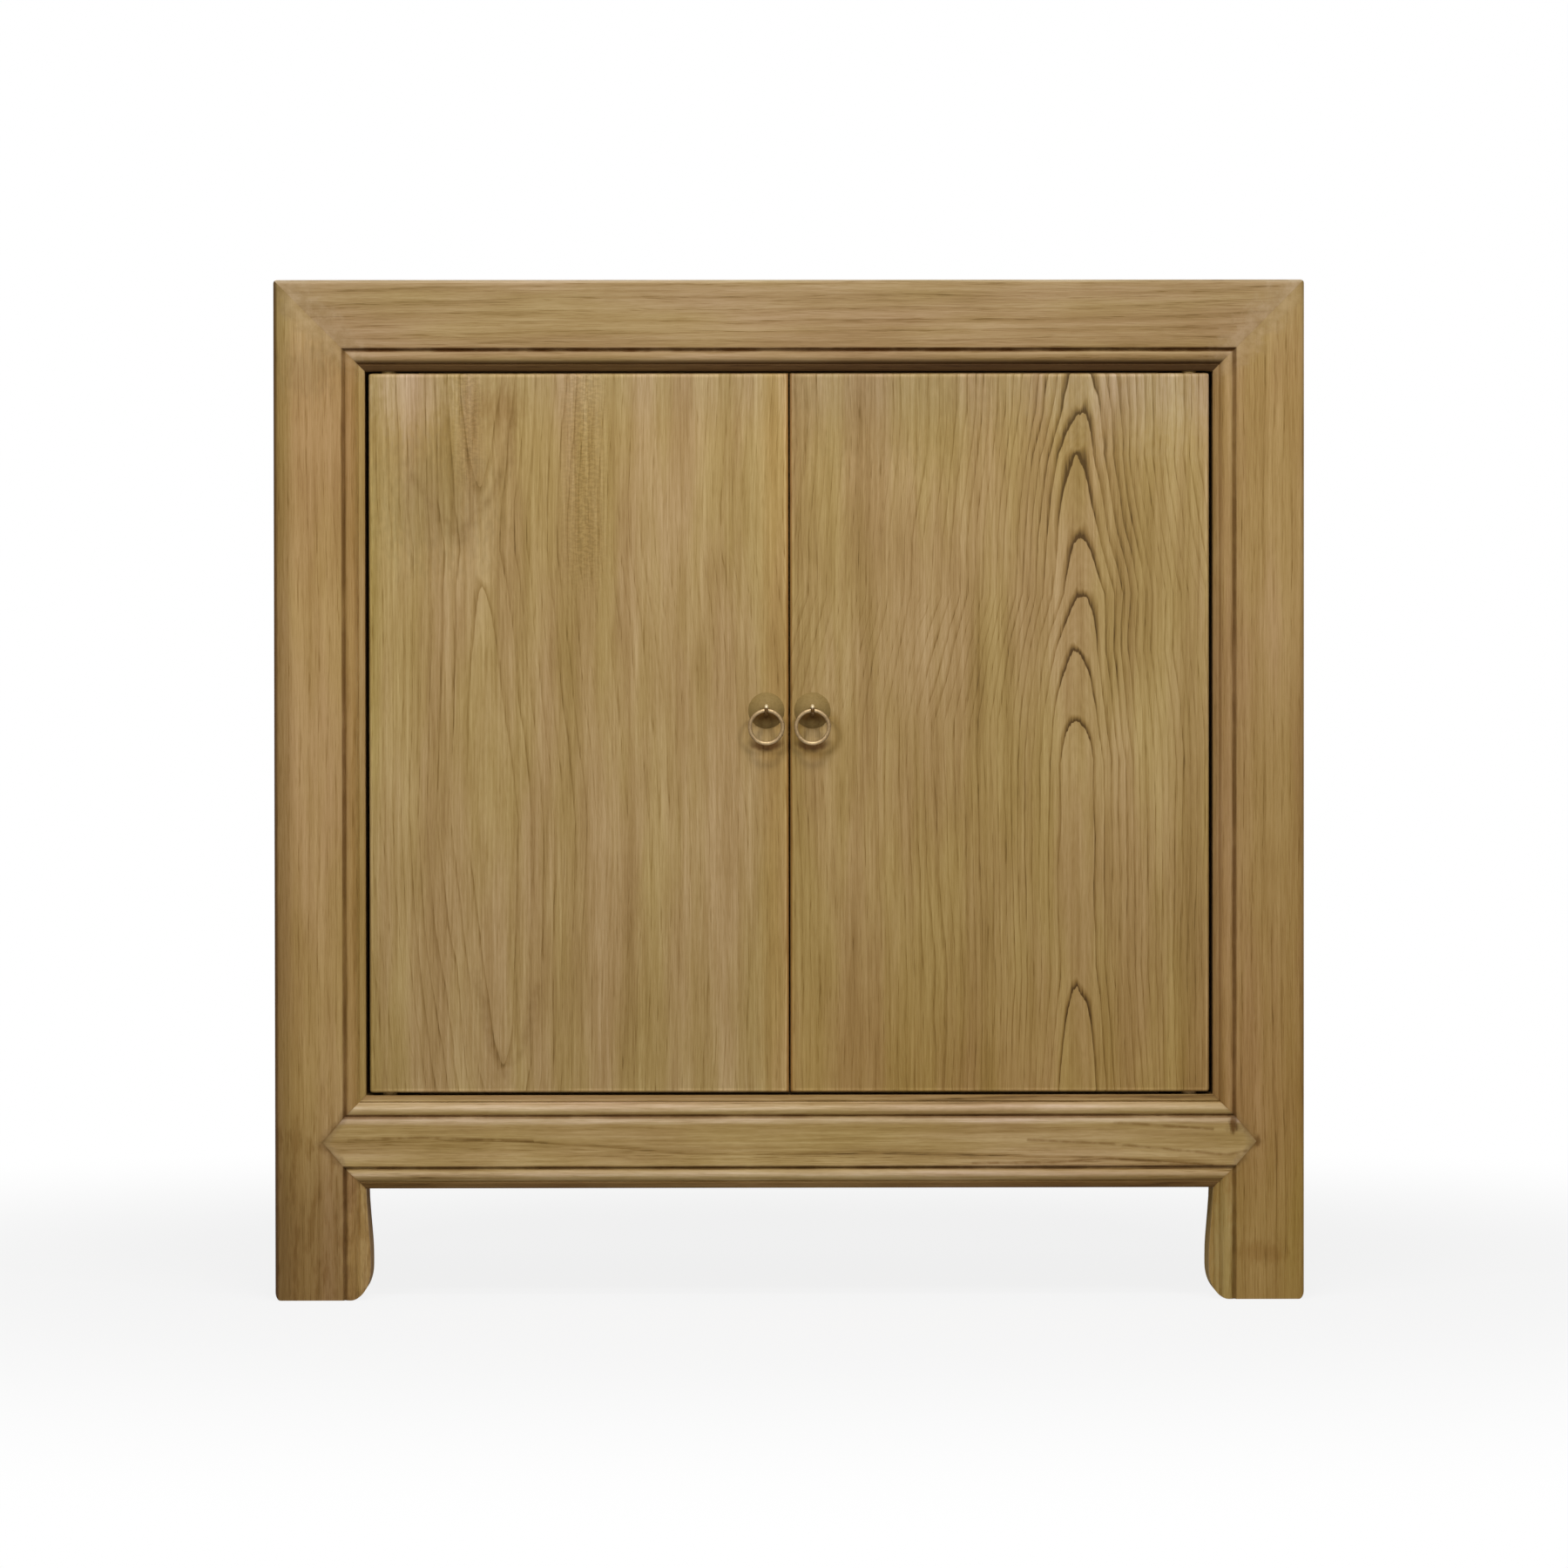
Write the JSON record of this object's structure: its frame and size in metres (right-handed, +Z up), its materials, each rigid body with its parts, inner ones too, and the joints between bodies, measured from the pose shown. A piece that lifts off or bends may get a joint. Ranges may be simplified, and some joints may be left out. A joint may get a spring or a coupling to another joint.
{
  "type": "kang cabinet",
  "caption": "Low elm cabinet on short square legs: mitred post-and-rail frame with a beaded edge, flush pivot-hung doors with small ring pulls, and a shelf inside.",
  "frame": {"origin": "on the floor, in the middle of the whole cabinet, ring pulls included", "axes": "+X to the right as seen from the front, +Y from the doors to the back, +Z up"},
  "size_m": [0.84, 0.4018, 0.832],
  "materials": {
    "elm_frame": "satin, planed elm, vertical or horizontal grain",
    "elm_doors": "satin, planed elm boards with flame figure",
    "inner_wood": "plain, unfinished",
    "brass": "aged, satin"
  },
  "bodies": {
    "carcass": {"front_left_post": "elm_frame", "front_right_post": "elm_frame", "back_left_post": "elm_frame", "back_right_post": "elm_frame", "top_front_rail": "elm_frame", "top_back_rail": "elm_frame", "top_left_rail": "elm_frame", "top_right_rail": "elm_frame", "top_panel": "elm_frame", "top_brace": "inner_wood", "bottom_front_rail": "elm_frame", "bottom_back_rail": "elm_frame", "bottom_left_rail": "elm_frame", "bottom_right_rail": "elm_frame", "left_side_panel": "elm_frame", "right_side_panel": "elm_frame", "back_muntin": "inner_wood", "left_back_board": "inner_wood", "right_back_board": "inner_wood", "bottom_board": "inner_wood", "bottom_brace": "inner_wood", "left_shelf_bearer": "inner_wood", "right_shelf_bearer": "inner_wood", "shelf": "inner_wood", "top_door_stop": "inner_wood", "sill_door_stop": "inner_wood"},
    "left_door": {"left_door_board": "elm_doors", "left_door_pivots": "inner_wood", "left_door_battens": "inner_wood", "left_pull_plate": "brass", "left_pull_eye": "brass"},
    "left_ring": {"left_pull_ring": "brass"},
    "right_door": {"right_door_board": "elm_doors", "right_door_pivots": "inner_wood", "right_door_battens": "inner_wood", "right_pull_plate": "brass", "right_pull_eye": "brass"},
    "right_ring": {"right_pull_ring": "brass"}
  },
  "joints": [
    {"name": "left_door_hinge", "type": "hinge", "parent": "carcass", "child": "left_door", "pos_m": [-0.3268, -0.17455, 0.167], "axis": [0, 0, -1], "range_deg": [0, 110]},
    {"name": "left_ring_swing", "type": "hinge", "parent": "left_door", "child": "left_ring", "pos_m": [-0.0188, -0.19605, 0.481], "axis": [-1, 0, 0], "range_deg": [-18, 170]},
    {"name": "right_door_hinge", "type": "hinge", "parent": "carcass", "child": "right_door", "pos_m": [0.3268, -0.17455, 0.167], "axis": [0, 0, 1], "range_deg": [0, 110]},
    {"name": "right_ring_swing", "type": "hinge", "parent": "right_door", "child": "right_ring", "pos_m": [0.0188, -0.19605, 0.481], "axis": [-1, 0, 0], "range_deg": [-18, 170]}
  ]
}
